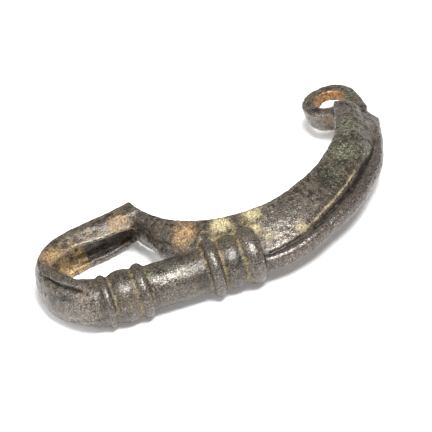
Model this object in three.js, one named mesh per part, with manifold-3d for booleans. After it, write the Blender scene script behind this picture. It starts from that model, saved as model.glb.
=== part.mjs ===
// Fibula brooch of La Tene type, one bronze casting lying loose on its side.
// An arched bow ends at the head in a pierced lug, which once held the spring axle. At the foot
// the metal runs on as a gutter that caught the pin, bends round and comes back as a round rod
// with two groups of ring mouldings, whose end is joined to the outer flank of the bow.
//
// The casting is drawn in its own plane first: X runs from foot to head, Y from the outer side
// of the bow to the pin side, Z across the brooch, with the plane of symmetry at Z = 0. It is
// then leaned over the way it lies. Millimetres, +Z up, origin under the middle of the part.

import * as THREE from 'three';
import { mergeVertices } from 'three/addons/utils/BufferGeometryUtils.js';
import Module from 'manifold-3d';

const wasm = await Module();
wasm.setup();

// ---------------------------------------------------------------- driving dimensions

// Inner edge of the bow, from the head round the arch to the foot.
const BOW_INNER_EDGE = [
  [24.0, 1.3], [19.15, -5.45], [15.75, -8.0], [12.0, -10.15], [7.3, -11.4],
  [1.7, -11.6], [-4.4, -8.6], [-7.8, -4.4], [-9.3, 0.0], [-9.8, 5.3],
];
const BOW_STEPS = 60;

// Half section of the bow at places along the arch (share 0 at the head, 1 at the foot).
// upper, under: across the brooch at the inner edge, above and below the middle; thick: from
// there out to the keel; facet: narrow side facet; lip: upper edge of the flute beside the
// keel, and groove: its bottom, both as [out from the inner edge, up from the middle]; rib:
// half width of the rounded keel; swell: bulge of the flank; keel: how far it sits off centre.
const BOW_STATIONS = [
  {
    share: 0.00, upper: 3.9, under: 3.9, thick: 6.0, facet: 1.7, swell: 0.15,
    lip: [3.6, 2.2], groove: [5.1, 1.0], rib: 0.5, keel: -0.5,
  },
  {
    share: 0.12, upper: 3.9, under: 3.9, thick: 6.15, facet: 0.9, swell: 0.20,
    lip: [3.7, 2.3], groove: [5.1, 1.1], rib: 0.8, keel: -0.3,
  },
  {
    share: 0.26, upper: 3.9, under: 3.9, thick: 7.35, facet: 0.3, swell: 0.25,
    lip: [5.0, 1.9], groove: [5.3, 0.9], rib: 1.0, keel: -0.1,
  },
  {
    share: 0.42, upper: 3.9, under: 3.9, thick: 8.1, facet: 0.2, swell: 0.25,
    lip: [6.0, 1.6], groove: [6.2, 0.9], rib: 1.1, keel: -0.3,
  },
  {
    share: 0.58, upper: 3.9, under: 3.9, thick: 8.8, facet: 0.2, swell: 0.35,
    lip: [7.3, 1.2], groove: [7.5, 0.9], rib: 1.2, keel: -0.8,
  },
  {
    share: 0.72, upper: 3.8, under: 3.7, thick: 6.6, facet: 0.2, swell: 0.45,
    lip: [5.4, 1.4], groove: [5.5, 1.1], rib: 1.0, keel: -0.3,
  },
  {
    share: 0.82, upper: 3.7, under: 3.2, thick: 4.0, facet: 0.2, swell: 0.35,
    lip: [3.2, 1.7], groove: [3.4, 1.3], rib: 1.0, keel: 0.3,
  },
  {
    share: 0.90, upper: 3.7, under: 2.6, thick: 2.3, facet: 0.2, swell: 0.20,
    lip: [1.8, 2.2], groove: [2.0, 1.4], rib: 0.9, keel: 0.8,
  },
  {
    share: 1.00, upper: 3.6, under: 2.4, thick: 1.6, facet: 0.2, swell: 0.10,
    lip: [1.0, 2.4], groove: [1.3, 1.5], rib: 0.9, keel: 0.8,
  },
];

// Head lug: a flat eye across the plane of the bow, with the bore for the spring axle.
const LUG_CENTRE = [25.78, 5.35];
const LUG_RADIUS = 4.08;
const LUG_BORE_RADIUS = 2.1;
const LUG_HALF_WIDTH = 1.58;
const LUG_SHOULDER = [28.1, -0.35];
const LUG_ROOT = [[26.6, -2.0], [23.9, 0.7]];
const LUG_EDGE = 0.3;
// Its under side slopes, so that it is thinnest at the far edge: the height of the under side
// at the middle of the bore, and its rise per millimetre along X and Y.
const LUG_UNDER_SIDE = { height: -0.62, rise: [0.189, 0.188] };
const LUG_TAPER = 0.09;

// Catch and bend: middle line of the foot strip, from under the bow round to the rod.
const FOOT_LINE = [
  [-9.6, 3.7], [-13.4, 4.1], [-17.6, 4.8], [-21.9, 4.9], [-24.8, 3.1],
  [-25.9, -0.8], [-25.6, -4.4], [-24.8, -6.7], [-23.2, -8.0],
];
const FOOT_STEPS = 44;
// Section of the strip at places along that line, as [away from the loop, up]. roof: free upper
// edge; ridge and shoulder: the flat top; belly: the outer wall; lip: free lower edge; wall:
// thickness of the sheet; fill: how far the gutter has closed up into a bar of radius round.
const FOOT_STATIONS = [
  {
    share: 0.00, roof: [-2.2, 1.9], ridge: [-1.4, 3.7], shoulder: [1.8, 3.6],
    belly: 2.9, lip: [0.7, -2.5], wall: 1.0, fill: 0, round: 3.2,
  },
  {
    share: 0.21, roof: [-1.9, 2.3], ridge: [0.1, 3.65], shoulder: [1.8, 3.55],
    belly: 3.1, lip: [0.6, -3.0], wall: 1.0, fill: 0, round: 3.2,
  },
  {
    share: 0.43, roof: [-1.1, 2.6], ridge: [0.8, 3.55], shoulder: [2.1, 3.45],
    belly: 3.05, lip: [0.6, -3.2], wall: 1.0, fill: 0, round: 3.2,
  },
  {
    share: 0.60, roof: [0.3, 3.0], ridge: [1.2, 3.55], shoulder: [2.2, 3.35],
    belly: 3.0, lip: [0.3, -3.4], wall: 1.2, fill: 0.08, round: 3.2,
  },
  {
    share: 0.77, roof: [0.0, 3.1], ridge: [0.9, 3.5], shoulder: [1.9, 3.2],
    belly: 3.3, lip: [0.0, -3.8], wall: 1.6, fill: 0.3, round: 3.4,
  },
  {
    share: 0.95, roof: [-1.6, 2.8], ridge: [0.0, 3.3], shoulder: [1.6, 2.9],
    belly: 3.3, lip: [0.0, -3.3], wall: 1.6, fill: 1, round: 3.45,
  },
  {
    share: 1.00, roof: [-1.6, 2.8], ridge: [0.0, 3.3], shoulder: [1.6, 2.9],
    belly: 3.3, lip: [0.0, -3.3], wall: 1.6, fill: 1, round: 3.3,
  },
];

// Foot rod: its axis, plain radius and mouldings, each placed along the axis from the bend.
const ROD_START = [-23.6, -7.7];
const ROD_END = [-2.77, -16.19];
const ROD_RADIUS = 3.2;
const RING_MOULDINGS = [
  { at: 0.0, radius: 3.85, halfLength: 0.68 },
  { at: 5.2, radius: 3.95, halfLength: 0.92 },
  { at: 15.6, radius: 4.25, halfLength: 0.98 },
  { at: 21.1, radius: 4.05, halfLength: 1.45 },
];
const BARREL_BEADS = [
  { at: 2.65, radius: 3.80, halfLength: 1.80 },
  { at: 18.2, radius: 3.75, halfLength: 1.60 },
];
const ROD_SEGMENTS = 40;
const MOULDING_STEPS = 8;

// How it lies, on the bow beside the lug and on two of the ring mouldings of the rod.
const LEAN = THREE.MathUtils.degToRad(-2.57);
const PITCH = THREE.MathUtils.degToRad(-0.54);
const BRONZE = new THREE.MeshStandardMaterial({ color: 0x5d5850, roughness: 0.55, metalness: 0.6 });

// ---------------------------------------------------------------- helpers

const mix = (a, b, t) => a + (b - a) * t;
const mixPairs = (a, b, t) => a.map((value, i) => mix(value, b[i], t));

// All named sizes at a share between stations, blended smoothly.
function sizesAt(stations, share) {
  let i = 0;
  while (i < stations.length - 2 && share > stations[i + 1].share) i += 1;
  const [a, b] = [stations[i], stations[i + 1]];
  const t = THREE.MathUtils.smoothstep(share, a.share, b.share);
  const sizes = {};
  for (const name of Object.keys(a)) {
    sizes[name] = Array.isArray(a[name]) ? mixPairs(a[name], b[name], t) : mix(a[name], b[name], t);
  }
  return sizes;
}

// Smooth plane curve through [x, y] points.
function planeCurve(points) {
  const through = points.map(([x, y]) => new THREE.Vector3(x, y, 0));
  return new THREE.CatmullRomCurve3(through, false, 'centripetal');
}

// Triangles that fill an outline, turning the same way as the outline does.
function fillOutline(outline) {
  const points = outline.map(([x, y]) => new THREE.Vector2(x, y));
  const turn = Math.sign(THREE.ShapeUtils.area(points));
  return THREE.ShapeUtils.triangulateShape(points, []).map(([a, b, c]) => {
    const area = THREE.ShapeUtils.area([points[a], points[b], points[c]]);
    return Math.sign(area) === turn ? [a, b, c] : [a, c, b];
  });
}

// Closed solid along a plane curve, through outlines of [out, up] pairs with equal counts.
// "Out" is square to the curve in its plane, on the given side (1 right, -1 left of travel).
function sweep(curve, steps, side, outlineAt) {
  const positions = [];
  const outlines = [];
  for (let i = 0; i <= steps; i += 1) {
    const at = curve.getPointAt(i / steps);
    const along = curve.getTangentAt(i / steps);
    outlines.push(outlineAt(i / steps));
    for (const [out, up] of outlines[i]) {
      positions.push(at.x + along.y * side * out, at.y - along.x * side * out, up);
    }
  }
  const count = outlines[0].length;
  const index = fillOutline(outlines[0]).flatMap(([a, b, c]) => [a, c, b]);
  index.push(...fillOutline(outlines[steps]).flat().map((i) => steps * count + i));
  for (let i = 0; i < steps; i += 1) {
    for (let j = 0; j < count; j += 1) {
      const [a, b] = [i * count + j, i * count + ((j + 1) % count)];
      index.push(a, b, b + count, a, b + count, a + count);
    }
  }
  const geometry = new THREE.BufferGeometry();
  geometry.setAttribute('position', new THREE.Float32BufferAttribute(positions, 3));
  const turn = THREE.ShapeUtils.area(outlines[0].map(([x, y]) => ({ x, y })));
  const outward = (side < 0) === (turn > 0);
  geometry.setIndex(outward ? index : index.reverse());
  return geometry;
}

// A closed mesh as a manifold solid.
function solid(geometry) {
  const bare = geometry.clone();
  bare.deleteAttribute('normal');
  bare.deleteAttribute('uv');
  const merged = mergeVertices(bare, 1e-5);
  return new wasm.Manifold(new wasm.Mesh({
    numProp: 3,
    vertProperties: new Float32Array(merged.attributes.position.array),
    triVerts: new Uint32Array(merged.index.array),
  }));
}

// ---------------------------------------------------------------- bow

// Half outline from the middle of the inner face round to the keel; mirrored to the other half.
function bowOutline(share) {
  const { upper, under, thick, facet, lip, groove, rib, swell, keel } = sizesAt(BOW_STATIONS, share);
  const chamfer = 0.25;
  const half = [[0, upper - chamfer], [chamfer, upper], [chamfer + facet, upper - 0.1]];
  const [fromOut, fromUp] = half[2];
  const flank = Math.hypot(lip[0] - fromOut, lip[1] - fromUp);
  const square = [(fromUp - lip[1]) / flank, (lip[0] - fromOut) / flank];
  const flankSteps = 4;
  for (let i = 1; i <= flankSteps; i += 1) {
    const t = i / flankSteps;
    const bulge = swell * Math.sin(Math.PI * t);
    half.push([mix(fromOut, lip[0], t) + square[0] * bulge, mix(fromUp, lip[1], t) + square[1] * bulge]);
  }
  half.push(mixPairs(lip, groove, 0.55), groove);
  half.push([mix(groove[0], thick, 0.55), rib], [mix(groove[0], thick, 0.88), rib * 0.72], [thick, 0]);
  const mirrored = half.slice(0, -1).reverse().map(([out, up]) => [out, (-up * under) / upper]);
  return [...half, ...mirrored].map(([out, up]) => [out, up + keel * (out / thick) ** 2]);
}

const bow = sweep(planeCurve(BOW_INNER_EDGE), BOW_STEPS, -1, bowOutline);

// ---------------------------------------------------------------- head lug

// The eye, an even plate with rounded edges that narrows below the middle.
function lugGeometry() {
  const [cx, cy] = LUG_CENTRE;
  const [dx, dy] = [LUG_SHOULDER[0] - cx, LUG_SHOULDER[1] - cy];
  const radius = LUG_RADIUS - LUG_EDGE;
  const from = Math.atan2(dy, dx) + Math.acos(radius / Math.hypot(dx, dy));
  const to = Math.PI * 1.32;
  const outline = new THREE.Shape();
  outline.moveTo(LUG_SHOULDER[0], LUG_SHOULDER[1]);
  outline.lineTo(cx + radius * Math.cos(from), cy + radius * Math.sin(from));
  outline.absarc(cx, cy, radius, from, to, false);
  for (const [x, y] of [...LUG_ROOT].reverse()) outline.lineTo(x, y);
  outline.closePath();
  const depth = 2 * (LUG_HALF_WIDTH - LUG_EDGE);
  const eye = new THREE.ExtrudeGeometry(outline, {
    depth,
    curveSegments: 28,
    bevelThickness: LUG_EDGE,
    bevelSize: LUG_EDGE,
    bevelSegments: 2,
  });
  eye.translate(0, 0, -depth / 2);
  const { position } = eye.attributes;
  for (let i = 0; i < position.count; i += 1) {
    const below = Math.max(0, -position.getZ(i)) / LUG_HALF_WIDTH;
    position.setX(i, mix(position.getX(i), cx, LUG_TAPER * below));
    position.setY(i, mix(position.getY(i), cy, LUG_TAPER * below));
  }
  return eye;
}

function boreGeometry() {
  const bore = new THREE.CylinderGeometry(LUG_BORE_RADIUS, LUG_BORE_RADIUS, 4 * LUG_HALF_WIDTH, 32);
  return bore.rotateX(Math.PI / 2).translate(LUG_CENTRE[0], LUG_CENTRE[1], 0);
}

// The eye with its sloping under side.
function lug() {
  const { height, rise: [riseX, riseY] } = LUG_UNDER_SIDE;
  const length = Math.hypot(riseX, riseY, 1);
  const offset = height - riseX * LUG_CENTRE[0] - riseY * LUG_CENTRE[1];
  return solid(lugGeometry()).trimByPlane([-riseX / length, -riseY / length, 1 / length], offset / length);
}

// ---------------------------------------------------------------- catch and bend

// Gutter outline: out round the sheet from the roof edge to the lower lip, then back inside it.
// The same points on a circle give the round rod that it closes up into.
function footOutline(share) {
  const { roof, ridge, shoulder, belly, lip, wall, fill, round } = sizesAt(FOOT_STATIONS, share);
  const outside = [
    roof, mixPairs(roof, ridge, 0.5), ridge, shoulder,
    [mix(shoulder[0], belly, 0.75), shoulder[1] * 0.6], [belly, 0],
    [belly * 0.97, lip[1] * 0.5], [mix(belly, lip[0], 0.2), lip[1] * 0.86], [mix(belly, lip[0], 0.55), lip[1]],
    lip,
  ];
  const innerBelly = belly - wall;
  const inside = [
    [lip[0] + 0.15, lip[1] + 0.7 * wall], [mix(lip[0], innerBelly, 0.55), lip[1] * 0.66],
    [innerBelly * 0.92, lip[1] * 0.36], [innerBelly, 0.1], [innerBelly * 0.85, ridge[1] * 0.4],
    [mix(roof[0], innerBelly, 0.45), mix(roof[1], ridge[1], 0.3) - 0.2], [roof[0] + 0.3, roof[1] - 0.45 * wall],
  ];
  const gutter = [...outside, ...inside];
  return gutter.map((point, i) => {
    const turn = THREE.MathUtils.degToRad(150 - (360 * i) / gutter.length);
    return mixPairs(point, [round * Math.cos(turn), round * Math.sin(turn)], fill);
  });
}

const foot = sweep(planeCurve(FOOT_LINE), FOOT_STEPS, 1, footOutline);

// ---------------------------------------------------------------- foot rod

// Radius of the rod at a place along it: the plain bar, or the highest moulding there.
function rodRadius(at) {
  const ring = ({ at: middle, radius, halfLength }) => {
    const away = Math.abs(at - middle) / halfLength;
    return away < 1 ? mix(ROD_RADIUS - 0.15, radius, Math.sqrt(1 - away * away)) : 0;
  };
  const bead = ({ at: middle, radius, halfLength }) => {
    const away = Math.abs(at - middle) / halfLength;
    return away < 1 ? mix(ROD_RADIUS - 0.1, radius, Math.cos((away * Math.PI) / 2) ** 0.5) : 0;
  };
  return Math.max(ROD_RADIUS, ...RING_MOULDINGS.map(ring), ...BARREL_BEADS.map(bead));
}

function rodGeometry() {
  const [x0, y0] = ROD_START;
  const [dx, dy] = [ROD_END[0] - x0, ROD_END[1] - y0];
  const length = Math.hypot(dx, dy);
  const places = [-0.5, length];
  for (const { at: middle, halfLength } of [...RING_MOULDINGS, ...BARREL_BEADS]) {
    for (let i = 0; i <= MOULDING_STEPS; i += 1) {
      places.push(middle - halfLength * Math.cos((Math.PI * i) / MOULDING_STEPS));
    }
  }
  const inOrder = places.filter((at) => at >= -0.5 && at <= length).sort((a, b) => a - b)
    .filter((at, i, all) => i === 0 || at - all[i - 1] > 0.06);
  const profile = inOrder.map((at) => new THREE.Vector2(rodRadius(at), at));
  profile.unshift(new THREE.Vector2(0, inOrder[0]));
  profile.push(new THREE.Vector2(0, inOrder[inOrder.length - 1]));
  const bar = new THREE.LatheGeometry(profile, ROD_SEGMENTS);
  return bar.rotateZ(Math.atan2(dy, dx) - Math.PI / 2).translate(x0, y0, 0);
}

// ---------------------------------------------------------------- the whole casting

const cast = [bow, foot, rodGeometry()].map(solid)
  .reduce((whole, piece) => whole.add(piece), lug())
  .subtract(solid(boreGeometry()));
const { vertProperties, triVerts } = cast.getMesh();
const casting = new THREE.BufferGeometry();
casting.setAttribute('position', new THREE.BufferAttribute(vertProperties, 3));
casting.setIndex(new THREE.BufferAttribute(triVerts, 1));

const brooch = new THREE.Mesh(casting, BRONZE);
brooch.name = 'brooch_casting';

const lying = new THREE.Group();
lying.add(brooch);
lying.rotation.set(LEAN, PITCH, 0);
lying.updateMatrixWorld(true);
const box = new THREE.Box3().setFromObject(lying, true);
const middle = box.getCenter(new THREE.Vector3());
lying.position.set(-middle.x, -middle.y, -box.min.z);

const part = new THREE.Group();
part.add(lying);

export default part;
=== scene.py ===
# A fibula brooch of La Tene type: one bronze casting, buried, patinated and cleaned, lying on its
# side on a pale studio table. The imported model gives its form, its size and the way it lies.
from math import cos, radians, sin

import bpy
import numpy as np
from mathutils import Matrix, Vector, noise


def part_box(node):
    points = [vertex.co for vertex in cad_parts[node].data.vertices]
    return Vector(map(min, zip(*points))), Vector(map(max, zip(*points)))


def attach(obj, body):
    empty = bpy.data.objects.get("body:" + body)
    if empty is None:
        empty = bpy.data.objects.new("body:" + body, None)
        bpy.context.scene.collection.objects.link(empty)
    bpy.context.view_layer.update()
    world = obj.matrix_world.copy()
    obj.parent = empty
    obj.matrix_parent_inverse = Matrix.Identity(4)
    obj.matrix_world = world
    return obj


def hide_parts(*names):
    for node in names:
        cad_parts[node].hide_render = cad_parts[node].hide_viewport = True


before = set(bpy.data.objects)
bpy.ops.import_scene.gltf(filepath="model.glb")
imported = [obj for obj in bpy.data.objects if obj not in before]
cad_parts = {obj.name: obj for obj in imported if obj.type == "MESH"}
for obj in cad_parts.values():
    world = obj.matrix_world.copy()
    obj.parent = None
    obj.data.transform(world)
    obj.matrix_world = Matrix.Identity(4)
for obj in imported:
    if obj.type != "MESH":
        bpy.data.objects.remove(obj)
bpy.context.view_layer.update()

# ---------------------------------------------------------------- the plane of the brooch
# The brooch was drawn in its own plane: x from foot to head, y from the outer side of the bow
# to the pin side, z across. It lies leaned a little out of that plane, on three points.
MM = 0.001
LEAN = radians(-2.57)
PITCH = radians(-0.54)
PLANE_FROM_BOX = Vector((-0.378, 5.438, 3.723))

low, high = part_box("brooch_casting")
under_middle = Vector(((low.x + high.x) / 2, (low.y + high.y) / 2, low.z))
plane = (Matrix.Translation(under_middle + PLANE_FROM_BOX * MM)
         @ Matrix.Rotation(LEAN, 4, "X") @ Matrix.Rotation(PITCH, 4, "Y") @ Matrix.Scale(MM, 4))


# ---------------------------------------------------------------- the casting: skin
# Bow, lug, catch and foot rod are one piece of cast bronze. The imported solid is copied, made
# into a fine even skin and relaxed, so that its edges are as soft as those of worn metal.
SKIN = 0.192
RELAX = 5

bpy.ops.object.select_all(action="DESELECT")
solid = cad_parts["brooch_casting"]
casting = solid.copy()
casting.data = solid.data.copy()
casting.name = casting.data.name = "bronze_casting"
casting.parent = None
bpy.context.scene.collection.objects.link(casting)
casting.select_set(True)
bpy.context.view_layer.objects.active = casting
bpy.ops.object.mode_set(mode="EDIT")
bpy.ops.mesh.select_all(action="SELECT")
bpy.ops.mesh.remove_doubles(threshold=0.002 * MM)
bpy.ops.object.mode_set(mode="OBJECT")
bpy.ops.object.modifier_add(type="REMESH")
casting.modifiers[-1].mode = "VOXEL"
casting.modifiers[-1].voxel_size = SKIN * MM
bpy.ops.object.modifier_apply(modifier=casting.modifiers[-1].name)
bpy.ops.object.modifier_add(type="SMOOTH")
casting.modifiers[-1].factor = 0.5
casting.modifiers[-1].iterations = RELAX
bpy.ops.object.modifier_apply(modifier=casting.modifiers[-1].name)
bpy.ops.object.shade_smooth()
mesh = casting.data

# ---------------------------------------------------------------- the casting: where each point is
# Every point of the skin is told where it lies on the brooch: how far along the arch and out
# from its inner edge, how far along the foot rod and off its axis, how far along the foot strip.
BOW_EDGE = [(24.0, 1.3), (19.15, -5.45), (15.75, -8.0), (12.0, -10.15), (7.3, -11.4),
            (1.7, -11.6), (-4.4, -8.6), (-7.8, -4.4), (-9.3, 0.0), (-9.8, 5.3)]
FOOT_LINE = [(-9.6, 3.7), (-13.4, 4.1), (-17.6, 4.8), (-21.9, 4.9), (-24.8, 3.1),
             (-25.9, -0.8), (-25.6, -4.4), (-24.8, -6.7), (-23.2, -8.0)]
ROD_START, ROD_END = np.array((-23.6, -7.7)), np.array((-2.77, -16.19))
ROD_REACH = 4.5
STRIP_REACH, STRIP_LIMIT = 4.2, -9.9
BORE_CENTRE = (25.78, 5.35)
LUG_REACH, LUG_TOP = 6.2, 1.8

def in_plane():
    """The skin's points in the brooch's own plane, in millimetres."""
    flat = np.empty(len(mesh.vertices) * 3)
    mesh.vertices.foreach_get("co", flat)
    away = np.array(plane.inverted())
    return flat.reshape(-1, 3) @ away[:3, :3].T + away[:3, 3]

def put_back(points):
    """Moves the skin to these points of the brooch's plane."""
    to = np.array(plane)
    mesh.vertices.foreach_set("co", (points @ to[:3, :3].T + to[:3, 3]).ravel())
    mesh.update()

def normals():
    """The skin's outward directions in the brooch's own plane."""
    flat = np.empty(len(mesh.vertices) * 3)
    mesh.vertices.foreach_get("normal", flat)
    return flat.reshape(-1, 3) @ np.array(plane.to_3x3().normalized())

def smooth_line(points, steps=24):
    """A smooth curve through plane points, as many short steps."""
    p = np.array(points)
    p = np.vstack([2 * p[0] - p[1], p, 2 * p[-1] - p[-2]])
    t = np.linspace(0, 1, steps, endpoint=False)[:, None]
    parts = [0.5 * (2 * b + (c - a) * t + (2 * a - 5 * b + 4 * c - d) * t ** 2
                    + (3 * b - a - 3 * c + d) * t ** 3)
             for a, b, c, d in zip(p, p[1:], p[2:], p[3:])]
    return np.vstack(parts + [p[-2:-1]])

def along(points, line):
    """Share of the line's length at its nearest place to each point, and the distance to it."""
    curve = smooth_line(line)
    length = np.concatenate([[0], np.cumsum(np.linalg.norm(np.diff(curve, axis=0), axis=1))])
    nearest = np.empty(len(points), int)
    for k in range(0, len(points), 20000):
        apart = points[k:k + 20000, None, :2] - curve[None]
        nearest[k:k + 20000] = (apart ** 2).sum(2).argmin(1)
    return length[nearest] / length[-1], np.linalg.norm(points[:, :2] - curve[nearest], axis=1)

def window(value, start, end, blend):
    """1 between start and end, falling softly to 0 over the blend on either side."""
    rise = np.clip((value - start) / blend + 0.5, 0, 1)
    fall = np.clip((end - value) / blend + 0.5, 0, 1)
    return rise * rise * (3 - 2 * rise) * fall * fall * (3 - 2 * fall)

def grain(points, size, shift):
    """Cloudy noise of about -1 to 1 whose lumps are the given size in millimetres."""
    return np.array([noise.fractal(Vector(p) / size + Vector((shift, 0, 0)), 0.8, 2.1, 2,
                                   noise_basis="PERLIN_NEW") for p in points])

def from_bore(points):
    """Distance of each point from the bore's axis."""
    return np.linalg.norm(points[:, :2] - BORE_CENTRE, axis=1)

point = in_plane()
normal = normals()
share, out = along(point, BOW_EDGE)
foot_share, foot_off = along(point, FOOT_LINE)
rod_way = (ROD_END - ROD_START) / np.linalg.norm(ROD_END - ROD_START)
rod_at = (point[:, :2] - ROD_START) @ rod_way
rod_aside = (point[:, :2] - ROD_START) @ np.array((-rod_way[1], rod_way[0]))
rod_off = np.hypot(rod_aside, point[:, 2])
rod = window(rod_at, -0.6, 22.9, 0.6) * (rod_off < ROD_REACH)
strip = (foot_off < STRIP_REACH) * (rod_at < 0.2) * (point[:, 0] < STRIP_LIMIT)
lug = window(from_bore(point), -1, LUG_REACH, 0.6) * (point[:, 2] < LUG_TOP) * (share < 0.06)
bow = (1 - rod) * (1 - strip) * (1 - lug)

# ---------------------------------------------------------------- the casting: worked surface
# Cast metal is never quite even: broad lumps, small pits and nicks, and along the bend of the
# foot a slit where the gutter's free edge was hammered down. The crease beside the keel is sunk.
LUMPS = ((3.2, 0.07), (1.1, 0.035), (0.45, 0.02))
PIT_SIZE, PIT_DEPTH = 0.8, 0.09
PIT_LEVEL, PIT_SPAN = 0.28, 0.4
BOW_SHARES = [0.0, 0.12, 0.26, 0.42, 0.58, 0.72]
GROOVE_LINE = [5.1, 5.1, 5.3, 6.2, 7.5, 5.5]
CREASE_WIDTH, CREASE_DEPTH = 0.24, 0.20
SLIT_UP, SLIT_WIDTH, SLIT_DEPTH = 3.0, 0.15, 0.45

move = np.zeros(len(point))
for number, (size, depth) in enumerate(LUMPS):
    move += depth * grain(point, size, 7.0 * number)
pits = np.clip(grain(point, PIT_SIZE, 31.0) - PIT_LEVEL, 0, PIT_SPAN) / PIT_SPAN
move -= PIT_DEPTH * pits * (1 - 0.5 * rod)

groove_out = np.interp(share, BOW_SHARES, GROOVE_LINE)
crease = np.exp(-((out - groove_out) / CREASE_WIDTH) ** 2) * window(share, 0.17, 0.60, 0.08)
crease *= bow * (point[:, 2] > 0.2)
move -= CREASE_DEPTH * crease

slit = np.exp(-((point[:, 2] - SLIT_UP) / SLIT_WIDTH) ** 2) * window(foot_share, 0.66, 0.90, 0.08)
slit *= strip * (point[:, 0] < -24.6)
move -= SLIT_DEPTH * slit
put_back(point + normal * move[:, None])

# ---------------------------------------------------------------- the casting: hollows and edges
# How hollow each point is, near and wide, decides where earth stayed, where shade is painted and
# where hands and cloth polished. The skin is compared with a copy of itself whose points were averaged
# many times.
edges = np.empty(len(mesh.edges) * 2, int)
mesh.edges.foreach_get("vertices", edges)
edges = edges.reshape(-1, 2)
joined = np.bincount(edges.ravel(), minlength=len(point))[:, None]

def average(values, rounds):
    """Each point's values become the mean of its neighbours', so many times."""
    for _ in range(rounds):
        total = np.stack([np.bincount(edges[:, 0], part[edges[:, 1]], len(point))
                          + np.bincount(edges[:, 1], part[edges[:, 0]], len(point))
                          for part in values.T], axis=1)
        values = total / joined
    return values

point, normal = in_plane(), normals()
near = average(point, 12)
wide = average(near, 60)
hollow = np.clip(((near - point) * normal).sum(1) / 0.06, -1, 1)
valley = np.clip(((wide - point) * normal).sum(1) / 0.30, -1, 1)

def attribute(name, values):
    """Gives the skin a weight of 0 to 1 that its material can read."""
    layer = mesh.attributes.new(name, "FLOAT", "POINT")
    layer.data.foreach_set("value", np.clip(values, 0, 1).astype(np.float32))

attribute("hollow", np.clip(hollow, 0, 1))
attribute("edge", np.clip(-hollow, 0, 1))
attribute("valley", np.clip(valley, 0, 1))
attribute("ridge", np.clip(-valley, 0, 1))
attribute("crease", np.clip(crease + slit, 0, 1))

# ---------------------------------------------------------------- the casting: what lies on it
# Pale earth, iron-stained ochre, copper salts, a painted sheen that stands for reflected light
# and darker areas lie in patches.
# Each is a soft ball in the plane of the brooch: its middle, its reach and its strength.
EARTH = [((-4.7, -10.3, 3.5), 2.2, 1.1), ((-0.6, -12.3, 3.6), 2.4, 0.95), ((-7.5, -8.8, 3.3), 1.8, 0.6),
         ((-1.6, -14.2, 2.6), 1.3, 1.0), ((-0.9, -16.4, 1.9), 1.2, 0.9), ((3.5, -17.9, 1.4), 1.6, 0.9),
         ((22.9, -1.0, 3.9), 0.7, 0.5), ((-13.2, -15.6, -1.3), 1.2, 0.6)]
OCHRE = [((-9.0, -7.2, 2.9), 2.6, 1.1), ((-13.2, 2.8, 2.9), 2.6, 0.9), ((-24.1, 3.7, 3.0), 2.8, 1.0),
         ((-17.0, 3.8, 2.9), 3.0, 0.5), ((-21.0, 4.2, 3.0), 2.5, 0.6), ((-10.8, -3.0, 2.6), 3.0, 0.4),
         ((-26.5, -7.5, 2.5), 2.5, 0.45), ((23.4, 2.1, 0.5), 1.0, 0.9),
         ((-19.8, 6.4, -1.5), 3.0, 0.35), ((-13.6, 6.1, -1.0), 2.5, 0.3)]
GREEN = [((21.4, -5.2, 3.4), 3.2, 0.9), ((17.5, -9.8, 3.2), 3.2, 0.9), ((13.5, -12.8, 3.0), 2.8, 0.6),
         ((20.8, -10.0, 1.8), 2.2, 0.7), ((-14.5, -13.6, 2.2), 2.4, 0.5), ((-18.0, -11.6, 2.6), 1.6, 0.7),
         ((28.3, 4.4, 1.6), 1.8, 0.8), ((25.5, 8.6, 1.6), 1.5, 0.4)]
# Painted sheen: in these patches the skin is painted lighter grey, a painted reflection of the lamps.
PAINTED_SHEEN_PATCHES = [((1.7, -16.0, 2.2), 4.2, 1.0), ((5.4, -15.7, 2.6), 3.0, 0.8), ((22.6, -1.8, 3.9), 1.8, 0.8),
         ((-27.9, -7.1, 1.5), 3.0, 0.6), ((-16.5, -13.0, 2.0), 2.5, 0.6)]
BLACK = [((12.0, -13.6, 3.0), 2.6, 0.9), ((15.0, -11.0, 3.2), 1.6, 0.6), ((-10.9, -3.7, 2.5), 3.0, 0.5),
         ((-6.0, -9.6, 3.8), 1.6, 0.5), ((-17.0, -12.3, 2.8), 1.6, 0.8)]
LIP_LINE = [3.6, 3.7, 5.0, 6.0, 7.3, 5.4]
ROD_SEAMS = [(0.7, 1.2), (3.6, 4.3), (6.1, 6.4), (14.2, 14.6), (16.6, 17.3), (19.5, 20.4)]
CATCH_MIDDLE = (-17.0, -1.5)

def patches(balls):
    """The strongest of these patches at each point."""
    weight = np.zeros(len(point))
    for middle, reach, strength in balls:
        apart = np.linalg.norm(point - np.array(middle), axis=1)
        weight = np.maximum(weight, strength * np.exp(-(apart / reach) ** 2))
    return weight

# Earth also fills the foot of the flute's lip and the seams between the mouldings.
lip_out = np.interp(share, BOW_SHARES, LIP_LINE)
lip = 0.8 * np.exp(-((out - lip_out + 0.35) / 0.28) ** 2) * window(share, 0.26, 0.53, 0.10)
earth = np.maximum(patches(EARTH), lip * bow * (point[:, 2] > 0.2))
for start, end in ROD_SEAMS:
    earth = np.maximum(earth, 0.62 * rod * window(rod_at, start, end, 1.0))
attribute("earth", earth)
attribute("ochre", patches(OCHRE))
attribute("green", patches(GREEN))
attribute("painted_sheen", patches(PAINTED_SHEEN_PATCHES))
attribute("black", patches(BLACK))
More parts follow.
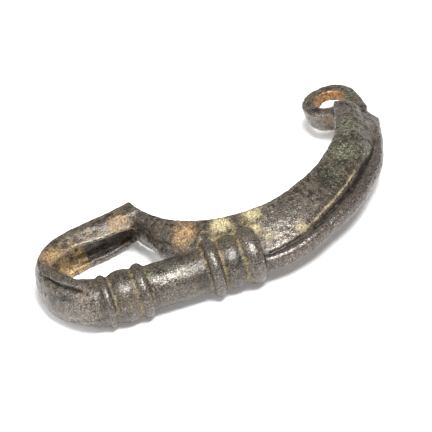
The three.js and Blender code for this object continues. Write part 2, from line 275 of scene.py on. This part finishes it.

# The bore, the keel, the rod and the inside of the catch each have a tone of their own; the flute's
# darker brown is partly its own colour and partly painted shade.
past_groove = out - groove_out
flute = window(past_groove, -1.3, 0.1, 0.4) * window(share, 0.2, 0.56, 0.1)
keel = window(past_groove, 0.25, 9.0, 0.5) * window(share, 0.1, 0.75, 0.1)
inward = np.sum(normal[:, :2] * (CATCH_MIDDLE - point[:, :2]), axis=1)
inside = window(foot_share, -1, 0.55, 0.1) * window(point[:, 2], -5, 2.4, 0.5) * window(inward, 1.0, 99, 1.0)
attribute("bore", window(from_bore(point), -1, 2.35, 0.3) * (point[:, 2] < LUG_TOP))
attribute("flute", flute * bow * (point[:, 2] > 0))
attribute("keel", keel * bow)
attribute("rod", rod)
attribute("inside", inside * strip)

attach(casting, "root")
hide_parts("brooch_casting")


# ---------------------------------------------------------------- the casting: patinated bronze
# Dark brown corrosion, grey where edges are worn and under a painted sheen that stands for reflected
# light, grey-green and mint copper salts, and dry yellow and orange earth that stayed in hollows.
# Painted shade darkens the creases and painted glints light the grain. All of it is finely grained.
class Shade:
    """A shader value that takes part in Python sums; each sum adds a node to the material."""
    tree = None

    def __init__(self, socket):
        self.socket = socket

    @classmethod
    def node(cls, kind, settings=None, out=None, **inputs):
        """Adds any node: its type and settings first, then its values and links."""
        node = cls.tree.nodes.new("ShaderNode" + kind)
        for name, value in (settings or {}).items():
            setattr(node, name, value)
        for name, value in inputs.items():
            title = name.replace("_", " ")
            socket = next(s for s in node.inputs if s.name == title and s.enabled)
            if isinstance(value, cls):
                cls.tree.links.new(value.socket, socket)
            else:
                socket.default_value = value
        return cls(node.outputs[out] if out else next(s for s in node.outputs if s.enabled))

    def sum(self, operation, other, swap=False):
        """Adds a Math node for this value and another."""
        node = self.tree.nodes.new("ShaderNodeMath")
        node.operation = operation
        for value, socket in zip((other, self) if swap else (self, other), node.inputs):
            if isinstance(value, Shade):
                self.tree.links.new(value.socket, socket)
            else:
                socket.default_value = value
        return Shade(node.outputs[0])

    def __add__(self, other): return self.sum("ADD", other)
    def __radd__(self, other): return self.sum("ADD", other, True)
    def __sub__(self, other): return self.sum("SUBTRACT", other)
    def __rsub__(self, other): return self.sum("SUBTRACT", other, True)
    def __mul__(self, other): return self.sum("MULTIPLY", other)
    def __rmul__(self, other): return self.sum("MULTIPLY", other, True)


patina = bpy.data.materials.new("patinated_bronze")
patina.use_nodes = True
patina.node_tree.nodes.clear()
Shade.tree = patina.node_tree

def layer(name):
    """One of the casting's own weights."""
    return Shade.node("Attribute", {"attribute_name": name}, out="Fac")

def cloud(size, detail=4.0, rough=0.6, shift=0.0):
    """Noise of 0 to 1 round 0.5, in lumps of the given size in millimetres."""
    moved = Shade.node("Mapping", Vector=place, Location=(shift * MM, 0, 0))
    return Shade.node("TexNoise", Vector=moved, Scale=1 / (size * MM), Detail=detail, Roughness=rough)

def rise(value, start, end):
    """0 below start, 1 above end, smooth between."""
    return Shade.node("MapRange", {"interpolation_type": "SMOOTHSTEP"},
                      Value=value, From_Min=start, From_Max=end)

def blend(amount, a, b, how="MIX"):
    """Colour a turned into colour b by the amount."""
    return Shade.node("Mix", {"data_type": "RGBA", "blend_type": how, "clamp_factor": True},
                      Factor=amount, A=a, B=b)

def tone(r, g, b):
    """A screen colour of 0 to 255 as light."""
    return (*(((c / 255 + 0.055) / 1.055) ** 2.4 for c in (r, g, b)), 1)

place = Shade.node("TexCoord", out="Object")
fine = cloud(0.22, 3.0, 0.75)
sand = cloud(0.30, 2.0, 0.6, 5.0)
mottle = cloud(0.9, 4.0, 0.62, 11.0)
drift = cloud(3.5, 4.0, 0.6, 17.0)
speck = cloud(0.26, 1.0, 0.5, 23.0)
spots = cloud(0.30, 2.0, 0.6, 29.0)
grainy, sandy, patchy, drifting = fine - 0.5, sand - 0.5, mottle - 0.5, drift - 0.5
in_hollow = layer("hollow")

# Brown-black skin with an olive bloom, grey where edges are worn and under a painted sheen.
skin = blend(rise(mottle + 0.6 * drifting, 0.36, 0.64), tone(52, 47, 42), tone(92, 84, 76))
bloom = rise(cloud(0.7, 4.0, 0.7, 37.0) + 0.5 * drifting, 0.46, 0.72)
skin = blend(bloom * 0.6, skin, tone(112, 104, 80))
# Real wear on edges and ridges, plus a painted sheen in the sheen patches, turns the skin grey.
wear_and_painted_sheen = 1.1 * layer("painted_sheen") + 0.35 * layer("ridge") + 0.45 * layer("edge") + 1.2 * patchy + 0.8 * grainy
wear_and_painted_sheen = rise(wear_and_painted_sheen, 0.35, 1.15)
skin = blend(wear_and_painted_sheen * 0.8, skin, tone(128, 121, 114))
# Darker areas of the skin, where the black patches lie.
skin = blend(rise(layer("black") + 1.2 * patchy, 0.30, 0.85) * 0.8, skin, tone(42, 42, 36))
skin = blend(layer("keel") * 0.6, skin, tone(84, 76, 73))
skin = blend(layer("rod") * 0.45 * rise(mottle, 0.35, 0.6), skin, tone(58, 53, 50))
# The flute's channel is painted darker brown: partly its own colour, partly painted shade.
skin = blend(layer("flute") * 0.7, skin, tone(62, 51, 46))

# Copper salts: a grey-green film with pale mint grains.
film = rise(0.8 * layer("green") + 2.0 * patchy + (spots - 0.5), 0.30, 1.05)
skin = blend(film * 0.6, skin, tone(104, 108, 88))
mint = rise(spots + 0.5 * grainy + 0.16 * layer("green"), 0.66, 0.80) * rise(layer("green"), 0.0, 0.5)
skin = blend(mint * 0.6, skin, tone(150, 160, 138))

# Earth, pale in the seams and orange where it is iron-stained.
soil = 0.9 * layer("earth") + 0.25 * in_hollow + 0.2 * layer("valley") + 1.3 * patchy + 0.9 * grainy
soil = rise(soil, 0.34, 1.0)
earth_tone = blend(rise(layer("earth"), 0.55, 0.95), tone(134, 118, 82), tone(184, 174, 132))
skin = blend(soil * 0.85, skin, earth_tone)
rust = rise(0.9 * layer("ochre") + 1.1 * patchy + 0.5 * sandy, 0.25, 1.05)
rust_tone = blend(rise(spots, 0.4, 0.6), tone(136, 106, 70), tone(186, 152, 104))
skin = blend(rust * 0.8, skin, rust_tone)
bore_tone = blend(rise(mottle, 0.35, 0.65), tone(138, 96, 52), tone(202, 152, 94))
skin = blend(layer("bore") * 0.7125, skin, bore_tone)
inside_tone = blend(rise(mottle, 0.36, 0.62), tone(112, 91, 58), tone(194, 160, 106))
skin = blend(layer("inside") * 0.75, skin, inside_tone)

# Grain: pinholes and painted glints break every colour up, and painted shade darkens the creases.
grain_tone = blend(rise(fine, 0.28, 0.72), (0.26, 0.25, 0.24, 1), (1.52, 1.50, 1.46, 1))
skin = blend(1.0, skin, grain_tone, "MULTIPLY")
skin = blend(rise(0.5 - speck, 0.10, 0.20) * 0.7, skin, tone(26, 23, 21))
# Painted glints: small painted highlights, strongest on the wear and painted sheen and on the keel.
painted_glints = rise(fine + 0.3 * sandy, 0.60, 0.72) * (0.12 + 0.45 * wear_and_painted_sheen + 0.15 * layer("keel"))
skin = blend(painted_glints, skin, tone(200, 194, 192))
# Painted shade: the sunk crease, the slit and other hollows are painted near black.
painted_crease_shade = rise(0.8 * layer("crease") + 0.25 * in_hollow, 0.35, 0.9)
skin = blend(painted_crease_shade * 0.85, skin, tone(24, 20, 18))

# Bare bronze is smooth and a little metallic; earth and rust are dull and stand up from it.
dirt = soil.sum("MAXIMUM", rust)
rough = 0.30 - 0.06 * wear_and_painted_sheen + 0.35 * dirt + 0.3 * grainy
metal = (0.2 + 0.35 * wear_and_painted_sheen) * (1 - dirt)
height = fine * 0.6 + speck * 0.5 + mottle * 0.5 + dirt * 0.3
relief = Shade.node("Bump", Height=height, Distance=0.075 * MM, Strength=1.0)

surface = Shade.node("BsdfPrincipled", Base_Color=skin, Roughness=rough, Metallic=metal, Normal=relief)
output = patina.node_tree.nodes.new("ShaderNodeOutputMaterial")
patina.node_tree.links.new(surface.socket, output.inputs["Surface"])
mesh.materials.clear()
mesh.materials.append(patina)

# ---------------------------------------------------------------- table, light and camera
# A sheet of white paper under a high softbox in front and a weaker one on the left, in faint even
# light. The camera looks down from the outer side of the bow and is rolled, so the brooch lies
# from lower left to upper right.
bpy.ops.object.select_all(action="DESELECT")
bpy.ops.mesh.primitive_plane_add(size=3.0, location=(0, 0, 0))
table = bpy.context.object
table.name = "studio_table"
paper = bpy.data.materials.new("white_paper")
paper.use_nodes = True
for title, value in {"Base Color": (0.88, 0.87, 0.865, 1), "Roughness": 0.9,
                     "Emission Color": (1, 0.99, 0.985, 1), "Emission Strength": 0.2}.items():
    paper.node_tree.nodes["Principled BSDF"].inputs[title].default_value = value
table.data.materials.append(paper)

VIEW_AZIMUTH = radians(-28.0)
VIEW_ELEVATION = radians(32.2)
VIEW_ROLL = radians(14.5)
VIEW_DISTANCE = 0.9
VIEW_WIDTH = 60.9 * MM
VIEW_CENTRE = (0.85, -1.67)

level = Vector((cos(VIEW_AZIMUTH), sin(VIEW_AZIMUTH), 0))
back = Vector((sin(VIEW_AZIMUTH) * cos(VIEW_ELEVATION), -cos(VIEW_AZIMUTH) * cos(VIEW_ELEVATION),
               sin(VIEW_ELEVATION)))
upright = back.cross(level)
right = level * cos(VIEW_ROLL) - upright * sin(VIEW_ROLL)
up = level * sin(VIEW_ROLL) + upright * cos(VIEW_ROLL)
turn = plane.to_3x3().normalized()
axes = [turn @ right, turn @ up, turn @ back]
aim = plane @ (right * VIEW_CENTRE[0] + up * VIEW_CENTRE[1])
eye = aim + axes[2] * VIEW_DISTANCE
bpy.ops.object.camera_add(location=eye, rotation=Matrix(axes).transposed().to_euler())
camera = bpy.context.object
camera.data.lens = camera.data.sensor_width * VIEW_DISTANCE / VIEW_WIDTH
camera.data.clip_end = 10
bpy.context.scene.camera = camera

def softbox(name, azimuth, elevation, distance, size, power):
    """A square studio light that faces the brooch."""
    side, height = radians(azimuth), radians(elevation)
    away = Vector((sin(side) * cos(height), -cos(side) * cos(height), sin(height)))
    bpy.ops.object.light_add(type="AREA", location=away * distance)
    light = bpy.context.object
    light.name = name
    light.data.shape = "SQUARE"
    light.data.size = size
    light.data.energy = power
    light.rotation_euler = away.to_track_quat("Z", "Y").to_euler()

softbox("key_softbox", -4, 62, 0.8, 0.3, 12.5)
softbox("fill_softbox", -100, 45, 0.9, 0.7, 4)

world = bpy.data.worlds.new("studio_air")
world.use_nodes = True
world.node_tree.nodes["Background"].inputs["Color"].default_value = (1, 1, 1, 1)
world.node_tree.nodes["Background"].inputs["Strength"].default_value = 0.14
bpy.context.scene.world = world
bpy.context.scene.view_settings.view_transform = "Standard"
